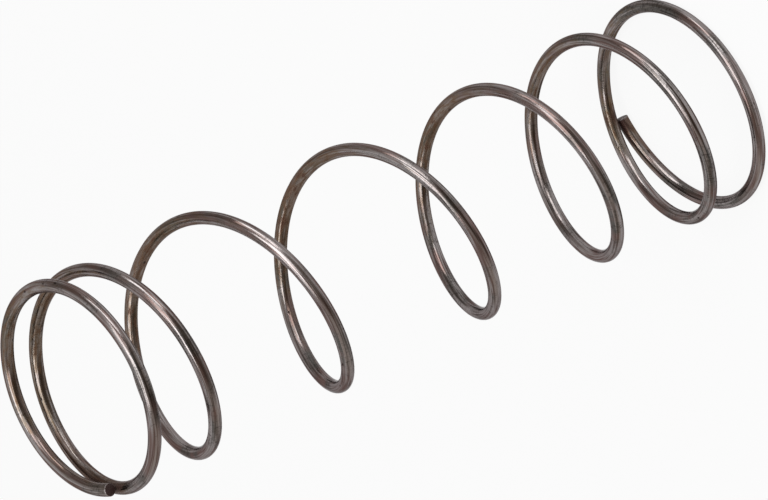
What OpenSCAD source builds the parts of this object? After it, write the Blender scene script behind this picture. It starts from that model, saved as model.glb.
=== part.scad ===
// Open-coil compression spring of round steel wire, right-hand wound, with closed
// unground ends. It stands on its foot turn, as it comes to rest on a bench.
// Millimetres. Z is up, and the ground is the plane z = 0.

/* [Wire] */
// Diameter of the round wire
wire_d = 1.25; // [0.6:0.05:2]

/* [Coil] */
// Mean diameter of the coil, from wire centre to wire centre
coil_d = 20; // [14:0.5:30]
// Free length that the turns add up to, before the wire ends are bent in
free_length = 76.7; // [50:0.1:110]
// Turns of wire from one cut end to the other
turns = 7.24; // [5:0.01:10]
// Angle round the coil at which the lower wire end lies
foot_angle = 84.4; // [0:0.1:359.9]

/* [Pitch] */
// Turns in which the pitch opens out above the foot
foot_opening = 4.05; // [2:0.05:8]
// Closed part of a turn at the head
head_closed = 0.33; // [0:0.01:1]
// Turns in which the pitch opens out below the head
head_opening = 3; // [1:0.1:3.5]

/* [Wire ends] */
// Clearance between each wire end and the turn that it lies against
tip_gap = 0.05; // [0.02:0.01:0.3]
// Part of a turn over which the lower wire end is bent in
foot_bend = 0.7; // [0.3:0.05:0.9]
// Part of a turn over which the upper wire end is bent in
head_bend = 0.6; // [0.3:0.05:0.9]
// How far the upper wire end is tucked towards the coil's axis
head_tuck = 0.75; // [0:0.05:1]

/* [Trueness of the winding] */
// How much wider the end turns are wound than the middle ones, in radius
end_flare = 0.5; // [0:0.05:1]
// How far the radius wanders in and out along the coil
wander = 0.15; // [0:0.01:0.5]
// Lean of the foot turns against the coil's axis, in degrees
foot_tilt = 3.6; // [0:0.1:5]
// Angle round the coil at which the foot turns lean highest
foot_tilt_at = 300; // [0:1:359]
// Lean of the head turns against the coil's axis, in degrees
head_tilt = 5; // [0:0.1:6]
// Angle round the coil at which the head turns lean highest
head_tilt_at = 108; // [0:1:359]

/* [Hidden] */
// Rings of points along the wire, and points round each ring
rings = 400;
ring_points = 12;
// Radius of the ring of points whose flat sides hold as much section as the round wire
ring_r = wire_d / 2 * sqrt(2 * PI / (ring_points * sin(360 / ring_points)));
// Rise of a turn that lies against the next one
closed_pitch = wire_d + tip_gap;
// Places on the foot turn, in turns from the wire's end, where it stands on the ground
stands_at = [0.11, 0.69];

// ---- small helpers ----
function unit(v) = v / norm(v);
function without(v, along) = v - (v * along) * along;
function mean(list) = [for (item = list) 1] * list / len(list);
function smooth_step(x) = let (c = min(max(x, 0), 1)) c * c * (3 - 2 * c);
function fade(x) = max(1 - x, 0);
function column(list, k) = [for (item = list) item[k]];

// ---- the coil about its own axis, as a function of turns from the lower end ----
// -1 at the foot, 0 halfway, 1 at the head
function height_share(turn) = 2 * turn / turns - 1;
function turn_angle(turn) = foot_angle + 360 * turn;

function radius(turn) =
    let (share = height_share(turn))
    coil_d / 2
    + end_flare * (share * share - 1 / 3)
    + wander * sin(360 * share)
    - head_tuck * pow(fade((turns - turn) / head_bend), 2);

// How far the pitch is open, from 0 in a closed turn towards 1
function open_share(turn) =
    (1 - exp(-turn / foot_opening))
    * smooth_step((turns - turn - head_closed) / head_opening);

// Height that the lean of the end turns adds, and which fades out by mid-length
function lean_height(turn) =
    let (share = height_share(turn), angle = turn_angle(turn))
    radius(turn) * (
        tan(foot_tilt) * max(-share, 0) * cos(angle - foot_tilt_at)
        + tan(head_tilt) * max(share, 0) * cos(angle - head_tilt_at));

turn_step = turns / rings;
turn_list = [for (i = [0 : rings]) i * turn_step];
// Sum of open_share along the wire
opened = [
    for (i = 0, sum = 0; i <= rings; sum = sum + open_share((i + 0.5) * turn_step) * turn_step, i = i + 1)
        sum
];
// Extra rise that a fully open turn has over a closed one
open_pitch = (free_length - wire_d - closed_pitch * turns) / opened[rings];
wound = [
    for (i = [0 : rings])
        let (turn = turn_list[i])
        [turn, closed_pitch * turn + open_pitch * opened[i] + lean_height(turn)]
];
// How far each wire end is bent in, so that it lies against the next turn
foot_bend_in = lookup(1, wound) - wound[0][1] - closed_pitch;
head_bend_in = wound[rings][1] - lookup(turns - 1, wound) - closed_pitch;

function height(i) =
    let (turn = turn_list[i])
    wound[i][1]
    + foot_bend_in * pow(fade(turn / foot_bend), 2)
    - head_bend_in * pow(fade((turns - turn) / head_bend), 2);

coil = [
    for (i = [0 : rings])
        let (turn = turn_list[i], r = radius(turn), angle = turn_angle(turn))
        [r * cos(angle), r * sin(angle), height(i)]
];

// ---- the coil set down on its foot turn ----
// It balances on two places of the foot turn, with its centre of mass above the line between them
stand_a = coil[round(stands_at[0] / turn_step)];
stand_b = coil[round(stands_at[1] / turn_step)];
up = unit(without(mean(coil) - stand_a, unit(stand_b - stand_a)));
side = unit(without([1, 0, 0], up));
back = cross(up, side);
standing = [for (point = coil) [point * side, point * back, point * up]];

// ---- the wire's skin: a ring of points square to the wire at each point of the coil ----
function along(i) = unit(standing[min(i + 1, rings)] - standing[max(i - 1, 0)]);
function outward(i) =
    let (
        angle = turn_angle(turn_list[i]),
        flat = [cos(angle), sin(angle), 0],
        turned = [flat * side, flat * back, flat * up]
    )
    unit(without(turned, along(i)));

function ring(i) =
    let (out = outward(i), over = cross(along(i), out))
    [
        for (k = [0 : ring_points - 1])
            let (a = 360 * k / ring_points)
            standing[i] + ring_r * (cos(a) * out + sin(a) * over)
    ];

skin = [for (i = [0 : rings]) each ring(i)];
low = [min(column(skin, 0)), min(column(skin, 1)), min(column(skin, 2))];
high = [max(column(skin, 0)), max(column(skin, 1)), max(column(skin, 2))];
// Middle of the box round the wire, at ground level
middle = [(low[0] + high[0]) / 2, (low[1] + high[1]) / 2, low[2]];

// One round wire, cut square at both ends
module spring() {
    last = rings * ring_points;
    sides = [
        for (i = [0 : rings - 1])
            for (k = [0 : ring_points - 1])
                let (
                    a = i * ring_points + k,
                    b = i * ring_points + (k + 1) % ring_points
                )
                each [[a, b + ring_points, b], [a, a + ring_points, b + ring_points]]
    ];
    foot_cut = [for (k = [0 : ring_points - 1]) k];
    head_cut = [for (k = [ring_points - 1 : -1 : 0]) last + k];
    color("#5b524c")
        translate(-middle)
            polyhedron(skin, concat([foot_cut, head_cut], sides), convexity = 10);
}

spring();
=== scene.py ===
"""Open-coil compression spring of tarnished spring-steel wire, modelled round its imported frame.

Everything is in metres, with Z up and the ground at z = 0. The spring stands on its foot turn.
"""

import math

import bmesh
import bpy
import numpy as np
from bpy.props import FloatProperty, FloatVectorProperty, PointerProperty
from mathutils import Matrix, Quaternion, Vector


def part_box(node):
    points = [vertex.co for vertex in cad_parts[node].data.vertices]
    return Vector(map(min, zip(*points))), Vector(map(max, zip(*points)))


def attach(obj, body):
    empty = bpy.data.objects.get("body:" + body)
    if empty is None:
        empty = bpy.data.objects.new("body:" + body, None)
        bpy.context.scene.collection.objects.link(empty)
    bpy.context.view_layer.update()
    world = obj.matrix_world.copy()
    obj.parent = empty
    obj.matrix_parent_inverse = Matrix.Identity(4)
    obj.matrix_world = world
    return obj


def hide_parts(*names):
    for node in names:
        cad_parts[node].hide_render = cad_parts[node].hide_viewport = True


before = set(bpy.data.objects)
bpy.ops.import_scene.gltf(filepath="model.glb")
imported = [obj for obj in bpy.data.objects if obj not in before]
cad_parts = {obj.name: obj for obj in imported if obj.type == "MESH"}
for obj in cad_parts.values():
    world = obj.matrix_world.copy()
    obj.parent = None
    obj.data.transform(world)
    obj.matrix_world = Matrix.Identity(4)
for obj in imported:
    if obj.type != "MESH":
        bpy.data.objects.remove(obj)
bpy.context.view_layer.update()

bl_info = {
    "name": "Compression spring",
    "version": (1, 0, 0),
    "blender": (4, 5, 0),
    "location": "View3D > Sidebar > Spring",
    "description": "Winds an open-coil compression spring from round wire and sets a plain studio round it",
    "category": "Object",
}

MM = 0.001
# Middle of the standing coil
COIL_MIDDLE = (0, 0, 37 * MM)
# Sides round the wire, and the two rounds of cuts that divide it along its length
WIRE_SIDES = 32
FIRST_CUTS, SECOND_CUTS = 100, 14
# An edge counts as lengthwise if it runs more than this many times as far along the wire as across it
LENGTHWISE = 5
# Steps in the broken edge round each cut end
CUT_EDGE_STEPS = 3
# Faces that meet at more than this angle, in degrees, show an edge between them
EDGE_ANGLE = 40
# Points on the line that the wire is wound along, and on the coarser one that settles how it stands
LINE_STEPS = 3000
SEAT_STEPS = 400
# Where the foot turn touches the ground, in turns from the lower wire end
STANDS_AT = (0.11, 0.69)
# Flat map of the wire: the rows that its skin is laid out in, the share of the map that they fill, and the
# margins along and across a row
FLAT_MAP = "OFBake"
MAP_ROWS = 11
MAP_ROWS_SHARE = 0.96
MAP_MARGINS = (0.01, 0.02)
# Places of the two cut ends in the strip above the rows, and the share of its height that they fill
MAP_ENDS = (0.02, 0.06)
MAP_END_SHARE = 0.8
# Attributes that keep each point's place on the straight wire, and its distance from the next turn and from a
# cut end
STOCK = "stock"
NEARBY = "nearby"
# Steps of the line between the points that the next turn is sought at, and points of the skin that are dealt
# with at a time
SOUGHT_STEP = 3
POINTS_AT_A_TIME = 2048
# Patterns in the finish: size of their grains along the wire and twice across it, detail and roughness
MOTTLE = ((3.5 * MM, 0.4 * MM, 0.4 * MM), 1.5, 0.55)
TICKS = ((0.17 * MM, 0.38 * MM, 0.38 * MM), 2.0, 0.6)
RUST_FLECKS = ((1.2 * MM, 0.28 * MM, 0.28 * MM), 4.0, 0.65)
# The same for the patches of heated film, in space
PATCHES = ((5 * MM, 5 * MM, 5 * MM), 3.0, 0.6)
# Detail and roughness of the die lines and of the bands that they lie in, and how much longer and wider the
# bands are
LINE_GRAIN = (2.0, 0.5)
BAND_GRAIN = (3.0, 0.6)
BAND_LENGTH, BAND_WIDTH = 1.6, 3
# Cells that may hold a nick, along the wire and twice across it
NICK_CELL = (1.5 * MM, 0.8 * MM, 0.8 * MM)
# How much the mottle counts in the rubbed places and in the outline of a nick, and the patches in the ticks
MOTTLE_IN_RUBBED = 0.35
MOTTLE_IN_NICKS = 0.25
PATCHES_IN_TICKS = 0.6
# Where the marks show: value of their pattern at which they start and end to change, and the share of the
# surface that they take at each, which is 0 and 1 where none is given
HEATED = (0.42, 0.62)
RUBBED = (1.05, 1.38)
LINE_BOTTOMS = (0.45, 0.3, 0.0, 0.28)
TICKED = (0.84, 1.08, 0.0, 0.55)
STAINED = (0.56, 0.86, 0.0, 0.5)
RUSTED = (0.75, 1.0, 0.0, 0.8)
RUST_PITS = (0.84, 1.04, 0.0, 0.7)
NICKED_CELLS = (0.76, 0.78, 0.0, 0.75)
NICK = (0.18, 0.3, 1.0, 0.0)
# The same by the distance from the next turn, which a full fleck of rust brings this much closer
FLECK_CLOSER = 3 * MM
STAINED_BESIDE = (-1.4 * MM, 0.8 * MM, 0.4, 0.0)
RUSTED_BESIDE = (-1.5 * MM, -0.5 * MM, 0.5, 0.0)
# Beside the next turn the grime colour is partly old oil and dirt and partly painted shade of the narrow gap
GRIME_AND_SHADE_BESIDE = (-1.7 * MM, -0.45 * MM, 0.9, 0.0)
# The same by the distance from a cut end
# Burnished steel round the broken edge, partly a painted highlight of that edge
BROKEN_EDGE_HIGHLIGHT = (0.06 * MM, 0.25 * MM, 0.6, 0.0)
# Painted shade on the cut faces, which are also made dull
CUT_FACE_SHADE = (0.004 * MM, 0.03 * MM, 0.9, 0.0)
# Roughness of the clean wire, and what the die lines and the dull places add to it
ROUGHNESS, LINE_ROUGHNESS, DULL_ROUGHNESS = 0.1, 0.12, 0.35
# How metallic the clean and the dull places are
METALLIC = (0.95, 0.3)
# Depth of the die lines, the mottle and the nicks
MARK_DEPTH = 0.03 * MM
# Places where damp stood on the coil: middle, how much its height counts against its width, reach and
# strength, and the part of the reach in which it was strongest
DAMP_PLACES = (
    ((9 * MM, 7 * MM, 42 * MM), 0.2, 17 * MM, 0.34),
    ((-2 * MM, 9.5 * MM, 2 * MM), 1.0, 6 * MM, 0.16),
)
DAMP_CORE = 1 / 6
# Share of plain white in the floor as it is seen. The rest is the lit paper, which holds the shadow
FLOOR_LIFT = 0.9
# Strength of the world's light on the object, against 1 where it is seen
WORLD_LIGHT = 0.3
# Dark ends of the studio: way to it (azimuth from +X, elevation), how far from its middle it is darkest and
# where it ends, all in degrees, and its colour
DARK_ENDS = (
    (-116, 12, 14, 47, "75685c"),
    (-134, -15, 10, 35, "75685c"),
    (-84, 0, 6, 34, "8a7d72"),
    (20, 22, 8, 46, "b2aaa6"),
    (-174, 12, 18, 52, "d8cdc4"),
    (-146, 42, 8, 34, "c2b7ae"),
)
# Lamps: name, way to it from the coil (azimuth from +X, elevation), turn, distance, width, height, radiance
LAMPS = (
    ("overhead_softbox", -73, 65.5, 40, 0.50, 0.27, 0.54, 3.4),
    ("side_softbox", -35, 8, 0, 0.50, 0.40, 0.20, 3.4),
)
# How far left of the coil's middle and below it the camera aims, as it sees them
AIM_LEFT, AIM_BELOW = 0.520 * MM, 0.404 * MM


def linear(code):
    """A linear RGBA colour from an sRGB hex code such as "5b524c"."""
    parts = [int(code[i : i + 2], 16) / 255 for i in (0, 2, 4)]
    return tuple(c / 12.92 if c <= 0.04045 else ((c + 0.055) / 1.055) ** 2.4 for c in parts) + (1.0,)


def length(name, description, default, low, high):
    return FloatProperty(
        name=name, description=description, default=default, min=low, max=high, unit="LENGTH", precision=4
    )


def turn_share(name, description, default, low, high):
    return FloatProperty(name=name, description=description, default=default, min=low, max=high)


def angle(name, description, degrees):
    return FloatProperty(name=name, description=description, default=math.radians(degrees), subtype="ANGLE")


def colour(name, description, code):
    return FloatVectorProperty(
        name=name, description=description, default=linear(code), size=4, min=0, max=1, subtype="COLOR"
    )


class SpringSizes(bpy.types.PropertyGroup):
    """Sizes of the wire and of the coil that it is wound into"""

    wire_diameter: length("Wire diameter", "Diameter of the round wire", 1.25 * MM, 0.6 * MM, 2 * MM)
    coil_diameter: length(
        "Coil diameter", "Mean diameter, from wire centre to wire centre", 20 * MM, 14 * MM, 30 * MM
    )
    free_length: length(
        "Free length", "Length along the axis, before the ends are bent in", 76.7 * MM, 50 * MM, 110 * MM
    )
    turns: turn_share("Turns", "Turns of wire from one cut end to the other", 7.24, 5, 10)
    foot_angle: angle("Foot angle", "Angle round the coil at which the lower wire end lies", 84.4)
    foot_opening: turn_share("Foot opening", "Turns in which the pitch opens out above the foot", 4.05, 2, 8)
    head_closed: turn_share("Head closed", "Closed part of a turn at the head", 0.33, 0, 1)
    head_opening: turn_share("Head opening", "Turns in which the pitch opens out below the head", 3.0, 1, 3.5)
    tip_gap: length(
        "End clearance", "Gap between a wire end and the turn beside it", 0.05 * MM, 0.02 * MM, 0.3 * MM
    )
    foot_bend: turn_share("Foot bend", "Part of a turn that is bent in at the lower wire end", 0.7, 0.3, 0.9)
    head_bend: turn_share("Head bend", "Part of a turn that is bent in at the upper wire end", 0.6, 0.3, 0.9)
    head_tuck: length("Head tuck", "How far the upper end is tucked towards the axis", 0.75 * MM, 0, 1 * MM)
    end_flare: length("End flare", "How much wider the end turns are wound, in radius", 0.5 * MM, 0, 1 * MM)
    wander: length("Wander", "How far the radius wanders in and out along the coil", 0.15 * MM, 0, 0.5 * MM)
    foot_tilt: angle("Foot tilt", "Lean of the foot turns against the axis", 3.6)
    foot_tilt_at: angle("Foot tilt side", "Angle round the coil at which the foot turns lean highest", 300)
    head_tilt: angle("Head tilt", "Lean of the head turns against the axis", 5)
    head_tilt_at: angle("Head tilt side", "Angle round the coil at which the head turns lean highest", 108)
    cut_slant: angle("Cut slant", "How far off square the wire ends are sheared", 4)
    cut_edge: length("Cut edge", "Width of the broken edge round a cut end", 0.07 * MM, 0.01 * MM, 0.2 * MM)


class SteelFinish(bpy.types.PropertyGroup):
    """Colours and sizes in the wire's finish"""

    film: colour("Oxide film", "Brown-grey film that heat and oil leave on drawn wire", "695854")
    blued: colour("Blued film", "Slate film where the stress relief ran hotter", "595653")
    burnished: colour("Burnished steel", "Bright steel where the tools rubbed the film through", "918b8a")
    rust: colour("Rust", "Rust on the side on which the spring lay damp", "66442e")
    stain: colour("Stain", "Olive-brown stain of dried oil round the rust", "63543c")
    pit: colour("Pit", "Bottom of nicks, ticks and deep die lines", "1e1815")
    # Dark colour: old oil and dirt in rust pits, grime and painted shade where turns lie close, painted shade
    # on cut faces
    grime_and_shade: colour("Grime and shade", "Old oil and dirt in rust pits, grime and painted shade where turns lie close, painted shade on cut faces", "341f1c")
    grazing: colour("Grazing tint", "Dull grey that the film gives at a glancing angle", "b2acac")
    line_width: length(
        "Die line width", "Width of the marks that the drawing die leaves", 0.16 * MM, 0.02 * MM, 0.5 * MM
    )
    line_length: length(
        "Die line length", "Length of the marks that the drawing die leaves", 5 * MM, 1 * MM, 50 * MM
    )


class StudioSizes(bpy.types.PropertyGroup):
    """Floor, lamps and camera"""

    floor_width: length("Floor width", "Width of the square floor", 4.0, 1, 10)
    floor: colour("Floor", "Colour of the pale floor", "f4f4f4")
    camera_azimuth: angle("Camera azimuth", "Way the camera looks, turned round from +Y", -5.393)
    camera_elevation: angle("Camera elevation", "Height of the camera above the horizon", 31.547)
    camera_roll: angle("Camera roll", "Turn of the camera about its line of sight", -120.84)
    camera_distance: length("Camera distance", "From the middle of the coil to the camera", 0.7143, 0.2, 5)
    camera_lens: FloatProperty(
        name="Lens", description="Focal length in millimetres", default=360.48, min=20, max=600
    )


# ---- the line that the wire is wound along ----


def unit(vector):
    return vector / np.linalg.norm(vector)


def without(vector, along):
    return vector - vector.dot(along) * along


def smooth_step(x):
    x = np.clip(x, 0, 1)
    return x * x * (3 - 2 * x)


def fade(x):
    return np.maximum(1 - x, 0)


def coil_line(sizes, steps):
    """Points on the wire's centre line, about the coil's own axis, from the lower end to the upper one."""
    turn = np.linspace(0, sizes.turns, steps + 1)
    left = sizes.turns - turn
    round_angle = sizes.foot_angle + math.tau * turn
    share = 2 * turn / sizes.turns - 1
    radius = (
        sizes.coil_diameter / 2
        + sizes.end_flare * (share**2 - 1 / 3)
        + sizes.wander * np.sin(math.tau * share)
        - sizes.head_tuck * fade(left / sizes.head_bend) ** 2
    )
    between = (turn[1:] + turn[:-1]) / 2
    open_share = 1 - np.exp(-between / sizes.foot_opening)
    open_share *= smooth_step((sizes.turns - between - sizes.head_closed) / sizes.head_opening)
    opened = np.append(0, np.cumsum(open_share)) * sizes.turns / steps
    closed_pitch = sizes.wire_diameter + sizes.tip_gap
    open_pitch = (sizes.free_length - sizes.wire_diameter - closed_pitch * sizes.turns) / opened[-1]
    foot_lean = math.tan(sizes.foot_tilt) * np.maximum(-share, 0) * np.cos(round_angle - sizes.foot_tilt_at)
    head_lean = math.tan(sizes.head_tilt) * np.maximum(share, 0) * np.cos(round_angle - sizes.head_tilt_at)
    wound = closed_pitch * turn + open_pitch * opened + radius * (foot_lean + head_lean)
    foot_bend_in = np.interp(1, turn, wound) - wound[0] - closed_pitch
    head_bend_in = wound[-1] - np.interp(sizes.turns - 1, turn, wound) - closed_pitch
    height = (
        wound
        + foot_bend_in * fade(turn / sizes.foot_bend) ** 2
        - head_bend_in * fade(left / sizes.head_bend) ** 2
    )
    return np.stack([radius * np.cos(round_angle), radius * np.sin(round_angle), height], axis=1)


def standing_line(sizes):
    """The same line with the coil set down on the two places where its foot turn carries it."""
    seat = coil_line(sizes, SEAT_STEPS)
    stand_a, stand_b = (seat[round(at / sizes.turns * SEAT_STEPS)] for at in STANDS_AT)
    up = unit(without(seat.mean(axis=0) - stand_a, unit(stand_b - stand_a)))
    side = unit(without(np.array([1.0, 0.0, 0.0]), up))
    return coil_line(sizes, LINE_STEPS) @ np.array([side, np.cross(up, side), up]).T


# ---- shaping the wire ----


def select_where(piece, kind, wanted):
    """In edit mode, selects the piece's edges or faces for which wanted(element) holds, and nothing else."""
    bpy.ops.mesh.select_mode(type=kind.upper())
    bpy.ops.mesh.select_all(action="DESELECT")
    mesh = bmesh.from_edit_mesh(piece.data)
    for element in mesh.edges if kind == "edge" else mesh.faces:
        if wanted(element):
            element.select_set(True)
    mesh.select_flush_mode()
    bmesh.update_edit_mesh(piece.data)


def runs_along(edge):
    run = edge.verts[1].co - edge.verts[0].co
    return abs(run.x) > LENGTHWISE * run.yz.length


def draw_stock(sizes, stock_length):
    """Straight wire along X from 0, with sheared ends and closely spaced rings of points."""
    bpy.ops.object.select_all(action="DESELECT")
    bpy.ops.mesh.primitive_cylinder_add(
        vertices=WIRE_SIDES,
        radius=sizes.wire_diameter / 2,
        depth=stock_length,
        location=(stock_length / 2, 0, 0),
        rotation=(0, math.pi / 2, 0),
    )
    wire = bpy.context.active_object
    wire.name = wire.data.name = "spring_wire"
    bpy.ops.object.transform_apply(location=True, rotation=True, scale=True)
    bpy.ops.object.mode_set(mode="EDIT")
    for end, turned in ((0, 1), (stock_length, -1)):
        select_where(
            wire, "face", lambda face: len(face.verts) > 4 and abs(face.calc_center_median().x - end) < MM
        )
        bpy.ops.transform.rotate(
            value=turned * sizes.cut_slant, orient_axis="Y", orient_type="GLOBAL", center_override=(end, 0, 0)
        )
        bpy.ops.mesh.bevel(
            offset=sizes.cut_edge, segments=CUT_EDGE_STEPS, profile=0.5, affect="EDGES", clamp_overlap=True
        )
    for cuts in (FIRST_CUTS, SECOND_CUTS):
        select_where(wire, "edge", lambda edge: runs_along(edge) and edge.calc_length() > sizes.wire_diameter)
        bpy.ops.mesh.subdivide(number_cuts=cuts)
    bpy.ops.object.mode_set(mode="OBJECT")
    return wire


def points_of(wire):
    points = np.empty(len(wire.data.vertices) * 3, np.float32)
    wire.data.vertices.foreach_get("co", points)
    return points.reshape(-1, 3)


def keep_attribute(wire, name, values):
    kept = wire.data.attributes.new(name, "FLOAT_VECTOR", "POINT")
    kept.data.foreach_set("vector", values.astype(np.float32).ravel())


def keep_nearby(wire, stock, line, sizes):
    """Keeps how far each point lies from the skin of the next turn and from the nearer cut end."""
    along = np.append(0, np.cumsum(np.linalg.norm(np.diff(line, axis=0), axis=1)))
    sought, sought_along = line[::SOUGHT_STEP], along[::SOUGHT_STEP]
    half_turn = math.pi * sizes.coil_diameter / 2
    points = points_of(wire)
    nearby = np.zeros((len(points), 3))
    for start in range(0, len(points), POINTS_AT_A_TIME):
        part = slice(start, start + POINTS_AT_A_TIME)
        apart = np.linalg.norm(points[part, None] - sought[None], axis=2)
        # The turn that a point is on doesn't count, so it is put farther off than the next one ever lies
        apart[np.abs(stock[part, None, 0] - sought_along[None]) < half_turn] = sizes.free_length
        nearby[part, 0] = apart.min(axis=1) - sizes.wire_diameter / 2
    slant = stock[:, 2] * math.tan(sizes.cut_slant)
    nearby[:, 1] = np.minimum(stock[:, 0], along[-1] - stock[:, 0]) + slant
    keep_attribute(wire, NEARBY, nearby)


def lay_out_skin(wire, stock_length):
    """Gives the wire a flat map: its skin in rows side by side, and the two cut ends in a strip above."""
    bpy.ops.object.mode_set(mode="EDIT")
    mesh = bmesh.from_edit_mesh(wire.data)
    flat = mesh.loops.layers.uv.new(FLAT_MAP)
    row_length = stock_length / MAP_ROWS
    margin_along, margin_across = MAP_MARGINS
    end_size = (1 - MAP_ROWS_SHARE) * MAP_END_SHARE
    for face in mesh.faces:
        middle = face.calc_center_median()
        # A face of a cut end looks along the wire
        if abs(face.normal.x) > 0.5:
            place = Vector((MAP_ENDS[0 if middle.x < stock_length / 2 else 1], (1 + MAP_ROWS_SHARE) / 2))
            for loop in face.loops:
                loop[flat].uv = place + (loop.vert.co - middle).yz / wire.dimensions.z * end_size
            continue
        row = min(int(middle.x / row_length), MAP_ROWS - 1)
        across = math.atan2(middle.z, middle.y)
        for loop in face.loops:
            place = loop.vert.co
            turned = math.remainder(math.atan2(place.z, place.y) - across, math.tau)
            part = margin_along + (1 - 2 * margin_along) * (place.x / row_length - row)
            round_part = margin_across + (1 - 2 * margin_across) * ((across + turned) / math.tau + 0.5)
            loop[flat].uv = (part, (row + round_part) / MAP_ROWS * MAP_ROWS_SHARE)
    bmesh.update_edit_mesh(wire.data)
    bpy.ops.object.mode_set(mode="OBJECT")


def wind(wire, line, box):
    """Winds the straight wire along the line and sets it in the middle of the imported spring's box."""
    path = bpy.data.curves.new("winding_line", "CURVE")
    path.dimensions = "3D"
    path.twist_mode = "Z_UP"
    path.use_path = True
    spline = path.splines.new("POLY")
    spline.points.add(len(line) - 1)
    weights = np.ones((len(line), 1))
    spline.points.foreach_set("co", np.append(line, weights, axis=1).astype(np.float32).ravel())
    guide = bpy.data.objects.new("winding_line", path)
    bpy.context.scene.collection.objects.link(guide)
    bpy.ops.object.select_all(action="DESELECT")
    wire.select_set(True)
    bpy.context.view_layer.objects.active = wire
    winding = wire.modifiers.new("Wind along the line", "CURVE")
    winding.object = guide
    winding.deform_axis = "POS_X"
    bpy.ops.object.modifier_apply(modifier=winding.name)
    bpy.data.objects.remove(guide)
    bpy.data.curves.remove(path)
    points = points_of(wire)
    low, high = box
    shift = (low + high) / 2 - Vector((points.min(axis=0) + points.max(axis=0)) / 2)
    wire.location = shift
    bpy.ops.object.transform_apply(location=True, rotation=True, scale=True)
    bpy.ops.object.mode_set(mode="EDIT")
    bpy.ops.mesh.select_all(action="SELECT")
    bpy.ops.mesh.normals_make_consistent(inside=False)
    bpy.ops.object.mode_set(mode="OBJECT")
    bpy.ops.object.shade_smooth_by_angle(angle=math.radians(EDGE_ANGLE))
    return line + np.array(shift)


# ---- finishes ----


def add(tree, kind, inputs=None, **settings):
    """Adds a node with its settings, and links or sets its inputs."""
    node = tree.nodes.new("ShaderNode" + kind)
    for name, value in settings.items():
        setattr(node, name, value)
    for name, value in (inputs or {}).items():
        if isinstance(value, bpy.types.NodeSocket):
            tree.links.new(value, node.inputs[name])
        else:
            node.inputs[name].default_value = value
    return node


def new_material(name):
    material = bpy.data.materials.new(name)
    material.use_nodes = True
    material.node_tree.nodes.clear()
    return material, material.node_tree


def ramp(tree, value, low, high, to_low=0.0, to_high=1.0):
    """The value spread smoothly from low..high to to_low..to_high."""
    spread = {"Value": value, "From Min": low, "From Max": high, "To Min": to_low, "To Max": to_high}
    return add(tree, "MapRange", spread, interpolation_type="SMOOTHSTEP").outputs["Result"]


def coat(tree, shade, share, colour):
    """The shade, with the colour over that share of it."""
    mix = add(tree, "Mix", {0: share, 6: shade, 7: tuple(colour)}, data_type="RGBA")
    return mix.outputs[2]


def grained(tree, place, size):
    """The place, counted in grains of that size along X, Y and Z, in metres."""
    return add(tree, "Mapping", {"Vector": place, "Scale": [1 / s for s in size]}).outputs["Vector"]


def noise(tree, place, size, detail, roughness):
    """Noise whose grains have that size along X, Y and Z of the place, in metres."""
    grain = {"Vector": grained(tree, place, size), "Scale": 1.0, "Detail": detail, "Roughness": roughness}
    return add(tree, "TexNoise", grain, noise_dimensions="3D").outputs["Fac"]


def maths(tree, operation, first, second):
    return add(tree, "Math", {0: first, 1: second}, operation=operation).outputs[0]


def total(tree, value, factor, other):
    """value * factor + other"""
    return add(tree, "Math", {0: value, 1: factor, 2: other}, operation="MULTIPLY_ADD").outputs[0]


def vector_maths(tree, operation, *vectors):
    """A vector, or the number that a length or a dot product gives."""
    node = add(tree, "VectorMath", dict(enumerate(vectors)), operation=operation)
    return node.outputs["Value" if operation in ("LENGTH", "DOT_PRODUCT") else "Vector"]


def worn_film(tree, finish, stock, place, lines, mottle):
    """Oxide film, rubbed to bright steel along the die lines, with fine dark ticks that the tools left."""
    long, width = BAND_LENGTH * finish.line_length, BAND_WIDTH * finish.line_width
    bands = noise(tree, stock, (long, width, width), *BAND_GRAIN)
    patches = noise(tree, place, *PATCHES)
    rubbed = total(tree, mottle, MOTTLE_IN_RUBBED, total(tree, bands, 1.0, lines))
    ticks = total(tree, patches, PATCHES_IN_TICKS, noise(tree, stock, *TICKS))
    shade = coat(tree, tuple(finish.film), ramp(tree, patches, *HEATED), finish.blued)
    shade = coat(tree, shade, ramp(tree, rubbed, *RUBBED), finish.burnished)
    shade = coat(tree, shade, ramp(tree, lines, *LINE_BOTTOMS), finish.pit)
    return coat(tree, shade, ramp(tree, ticks, *TICKED), finish.pit)


def rust_growth(tree, stock, place):
    """How far rust has grown: flecks, which grow towards the places on the coil where damp stood."""
    grown = noise(tree, stock, *RUST_FLECKS)
    for middle, height_share, reach, strength in DAMP_PLACES:
        apart = vector_maths(tree, "SUBTRACT", place, middle)
        apart = vector_maths(tree, "LENGTH", vector_maths(tree, "MULTIPLY", apart, (1, 1, height_share)))
        grown = maths(tree, "ADD", grown, ramp(tree, apart, reach * DAMP_CORE, reach, strength, 0.0))
    return grown


def weathered_and_shaded(tree, finish, shade, grown, to_next_turn):
    """Stain and pitted rust, with grime and painted shade where turns lie close, and how dull it is."""
    rusted = ramp(tree, grown, *RUSTED)
    shade = coat(tree, shade, ramp(tree, grown, *STAINED), finish.stain)
    shade = coat(tree, shade, rusted, finish.rust)
    shade = coat(tree, shade, ramp(tree, grown, *RUST_PITS), finish.grime_and_shade)
    beside = total(tree, grown, -FLECK_CLOSER, to_next_turn)
    # Where the next turn lies close: the grime colour is partly grime and partly painted shade of the gap
    grime_and_shade_beside = ramp(tree, beside, *GRIME_AND_SHADE_BESIDE)
    shade = coat(tree, shade, ramp(tree, beside, *STAINED_BESIDE), finish.stain)
    shade = coat(tree, shade, ramp(tree, beside, *RUSTED_BESIDE), finish.rust)
    shade = coat(tree, shade, grime_and_shade_beside, finish.grime_and_shade)
    return shade, maths(tree, "MAXIMUM", rusted, grime_and_shade_beside)


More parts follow.
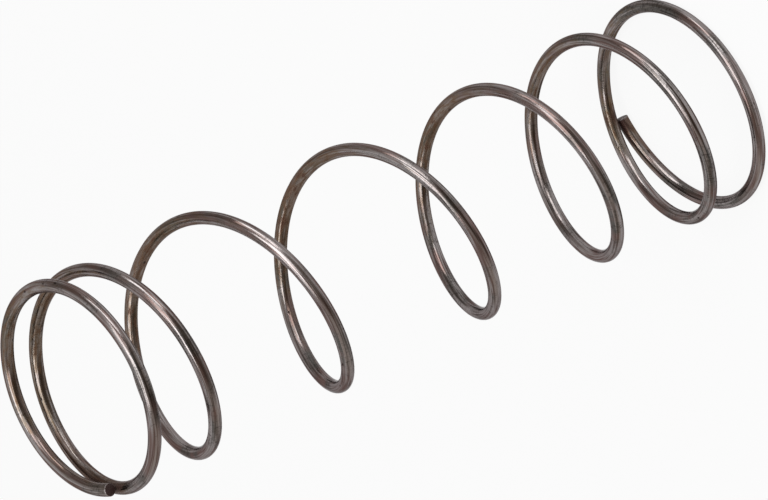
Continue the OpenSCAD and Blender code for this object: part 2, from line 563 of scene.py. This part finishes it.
def nicks(tree, stock, mottle):
    """Small nicks, in a few cells of the skin that are picked at random."""
    cells = {"Vector": grained(tree, stock, NICK_CELL), "Scale": 1.0}
    cells = add(tree, "TexVoronoi", cells, voronoi_dimensions="3D").outputs
    picked = add(tree, "SeparateColor", {"Color": cells["Color"]}).outputs["Red"]
    inside = ramp(tree, total(tree, mottle, MOTTLE_IN_NICKS, cells["Distance"]), *NICK)
    return maths(tree, "MULTIPLY", inside, ramp(tree, picked, *NICKED_CELLS))


def tarnished_spring_steel(finish):
    """Cold-drawn spring steel wire, left with its oxide film.

    Drawing through the die leaves fine lines along the wire, which pull each highlight out into a streak. Most
    real ones are finer than 0.05 mm, so these are drawn as coarse as they need to be to show. The film is thin
    and brown-grey, rubbed bright by the coiling tools, slate-grey where the heat of stress relief was higher,
    and rusted on the side on which the spring lay damp.
    """
    material, tree = new_material("Drawn spring steel, tarnished")
    stock = add(tree, "Attribute", attribute_name=STOCK, attribute_type="GEOMETRY").outputs["Vector"]
    nearby = add(tree, "Attribute", attribute_name=NEARBY, attribute_type="GEOMETRY").outputs["Vector"]
    nearby = add(tree, "SeparateXYZ", {"Vector": nearby}).outputs
    place = add(tree, "TexCoord").outputs["Object"]
    lines = noise(tree, stock, (finish.line_length, finish.line_width, finish.line_width), *LINE_GRAIN)
    mottle = noise(tree, stock, *MOTTLE)

    shade = worn_film(tree, finish, stock, place, lines, mottle)
    shade, dull = weathered_and_shaded(tree, finish, shade, rust_growth(tree, stock, place), nearby["X"])
    # Sheared ends: burnished edge, partly a painted highlight, and painted shade on the cut face
    cut_face_shade = ramp(tree, nearby["Y"], *CUT_FACE_SHADE)
    shade = coat(tree, shade, ramp(tree, nearby["Y"], *BROKEN_EDGE_HIGHLIGHT), finish.burnished)
    shade = coat(tree, shade, cut_face_shade, finish.grime_and_shade)
    dull = maths(tree, "MAXIMUM", dull, cut_face_shade)
    nick = nicks(tree, stock, mottle)
    shade = coat(tree, shade, nick, finish.pit)

    normal = {}
    for height, sunk in ((lines, False), (mottle, False), (nick, True)):
        marks = {"Strength": 1.0, "Distance": MARK_DEPTH, "Height": height, **normal}
        normal = {"Normal": add(tree, "Bump", marks, invert=sunk).outputs["Normal"]}
    skin = {
        "Base Color": shade,
        "Metallic": ramp(tree, dull, 0.0, 1.0, *METALLIC),
        "Roughness": total(tree, dull, DULL_ROUGHNESS, total(tree, lines, LINE_ROUGHNESS, ROUGHNESS)),
        "Specular Tint": tuple(finish.grazing),
        **normal,
    }
    surface = add(tree, "BsdfPrincipled", skin)
    add(tree, "OutputMaterial", {"Surface": surface.outputs["BSDF"]})
    return material


def seen_directly(tree):
    """1 where the camera, a mirror or glass looks, and 0 where the surface only lights something."""
    path = add(tree, "LightPath")
    share = path.outputs["Is Camera Ray"]
    for ray in ("Is Glossy Ray", "Is Transmission Ray"):
        share = maths(tree, "MAXIMUM", share, path.outputs[ray])
    return share


# ---- making the pieces ----


class MESH_OT_wind_spring(bpy.types.Operator):
    """Draw straight wire, shear its ends and wind it into the spring"""

    bl_idname = "mesh.wind_spring"
    bl_label = "Wind the spring"

    def execute(self, context):
        sizes, finish = context.scene.spring_sizes, context.scene.steel_finish
        line = standing_line(sizes)
        stock_length = float(np.linalg.norm(np.diff(line, axis=0), axis=1).sum())
        wire = draw_stock(sizes, stock_length)
        stock = points_of(wire)
        keep_attribute(wire, STOCK, stock)
        lay_out_skin(wire, stock_length)
        line = wind(wire, line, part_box("spring"))
        keep_nearby(wire, stock, line, sizes)
        wire.data.materials.clear()
        wire.data.materials.append(tarnished_spring_steel(finish))
        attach(wire, "root")
        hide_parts("spring")
        return {"FINISHED"}


class SCENE_OT_set_studio(bpy.types.Operator):
    """Lay the pale floor, hang the lamps and place the camera"""

    bl_idname = "scene.set_studio"
    bl_label = "Set the studio"

    def execute(self, context):
        studio = context.scene.studio_sizes
        lay_floor(studio)
        light_world()
        for lamp in LAMPS:
            hang_lamp(*lamp)
        place_camera(context, studio)
        context.scene.view_settings.view_transform = "Standard"
        return {"FINISHED"}


def lay_floor(studio):
    bpy.ops.object.select_all(action="DESELECT")
    bpy.ops.mesh.primitive_plane_add(size=studio.floor_width, location=(0, 0, 0))
    floor = bpy.context.active_object
    floor.name = floor.data.name = "studio_floor"
    material, tree = new_material("Matt white paper")
    paper = add(tree, "BsdfDiffuse", {"Color": tuple(studio.floor)})
    place = add(tree, "NewGeometry").outputs["Position"]
    way = vector_maths(tree, "NORMALIZE", vector_maths(tree, "SUBTRACT", place, COIL_MIDDLE))
    white = add(tree, "Emission", {"Color": studio_shade(tree, way), "Strength": 1.0})
    share = maths(tree, "MULTIPLY", seen_directly(tree), FLOOR_LIFT)
    both = add(tree, "MixShader", {0: share, 1: paper.outputs[0], 2: white.outputs[0]})
    add(tree, "OutputMaterial", {"Surface": both.outputs[0]})
    floor.data.materials.append(material)


def way_to(azimuth, elevation):
    """Unit vector to that azimuth from +X and that elevation, in degrees."""
    a, e = math.radians(azimuth), math.radians(elevation)
    return Vector((math.cos(a) * math.cos(e), math.sin(a) * math.cos(e), math.sin(e)))


def studio_shade(tree, way):
    """White as it is seen, with the dark ends that only show in the steel, as soft dark bands."""
    mirrored = add(tree, "LightPath").outputs["Is Glossy Ray"]
    shade = (1, 1, 1, 1)
    for azimuth, elevation, inner, outer, code in DARK_ENDS:
        towards = vector_maths(tree, "DOT_PRODUCT", way, way_to(azimuth, elevation))
        near, far = math.cos(math.radians(inner)), math.cos(math.radians(outer))
        share = maths(tree, "MULTIPLY", ramp(tree, towards, far, near), mirrored)
        shade = coat(tree, shade, share, linear(code))
    return shade


def light_world():
    """The white studio all round: as bright as white where it is seen, and dimmer as a light."""
    world = bpy.data.worlds.new("Studio")
    bpy.context.scene.world = world
    world.use_nodes = True
    tree = world.node_tree
    tree.nodes.clear()
    way = add(tree, "TexCoord").outputs["Generated"]
    strength = ramp(tree, seen_directly(tree), 0, 1, WORLD_LIGHT, 1.0)
    glow = add(tree, "Background", {"Color": studio_shade(tree, way), "Strength": strength})
    add(tree, "OutputWorld", {"Surface": glow.outputs[0]})


def hang_lamp(name, azimuth, elevation, turn, distance, width, height, radiance):
    """A soft box that faces the middle of the coil, with the same light all over it."""
    way = way_to(azimuth, elevation)
    lamp = bpy.data.lights.new(name, "AREA")
    lamp.shape = "RECTANGLE"
    lamp.size, lamp.size_y = width, height
    lamp.energy = radiance * math.pi * width * height
    holder = bpy.data.objects.new(name, lamp)
    holder.location = Vector(COIL_MIDDLE) + way * distance
    facing = way.to_track_quat("Z", "Y") @ Quaternion((0, 0, 1), math.radians(turn))
    holder.rotation_euler = facing.to_euler()
    holder.visible_camera = False
    bpy.context.scene.collection.objects.link(holder)


def place_camera(context, studio):
    """Looks at the coil from the given side, turned about the line of sight."""
    a, e, r = studio.camera_azimuth, studio.camera_elevation, studio.camera_roll
    look = Vector((math.sin(a) * math.cos(e), math.cos(a) * math.cos(e), -math.sin(e)))
    level = Vector((math.cos(a), -math.sin(a), 0))
    down = look.cross(level)
    right = math.cos(r) * level - math.sin(r) * down
    lower = math.sin(r) * level + math.cos(r) * down
    aim = Vector(COIL_MIDDLE) - right * AIM_LEFT + lower * AIM_BELOW
    camera = bpy.data.objects.new("camera", bpy.data.cameras.new("camera"))
    camera.data.sensor_width = 36
    camera.data.lens = studio.camera_lens
    camera.data.clip_start = 10 * MM
    turned = Matrix((right, -lower, -look)).transposed().to_4x4()
    camera.matrix_world = Matrix.Translation(aim - look * studio.camera_distance) @ turned
    context.scene.collection.objects.link(camera)
    context.scene.camera = camera


class VIEW3D_PT_spring(bpy.types.Panel):
    """Sizes, colours and the steps that make the spring"""

    bl_label = "Compression spring"
    bl_space_type = "VIEW_3D"
    bl_region_type = "UI"
    bl_category = "Spring"

    def draw(self, context):
        layout = self.layout
        groups = (
            (context.scene.spring_sizes, MESH_OT_wind_spring),
            (context.scene.steel_finish, None),
            (context.scene.studio_sizes, SCENE_OT_set_studio),
        )
        for group, operator in groups:
            column = layout.column(align=True)
            for name in group.__annotations__:
                column.prop(group, name)
            if operator:
                column.operator(operator.bl_idname)


GROUPS = (("spring_sizes", SpringSizes), ("steel_finish", SteelFinish), ("studio_sizes", StudioSizes))
CLASSES = (MESH_OT_wind_spring, SCENE_OT_set_studio, VIEW3D_PT_spring)


def register():
    for name, group in GROUPS:
        bpy.utils.register_class(group)
        setattr(bpy.types.Scene, name, PointerProperty(type=group))
    for made in CLASSES:
        bpy.utils.register_class(made)


def unregister():
    for made in reversed(CLASSES):
        bpy.utils.unregister_class(made)
    for name, group in reversed(GROUPS):
        delattr(bpy.types.Scene, name)
        bpy.utils.unregister_class(group)


def main():
    register()
    bpy.ops.mesh.wind_spring()
    bpy.ops.scene.set_studio()


if __name__ == "__main__":
    main()
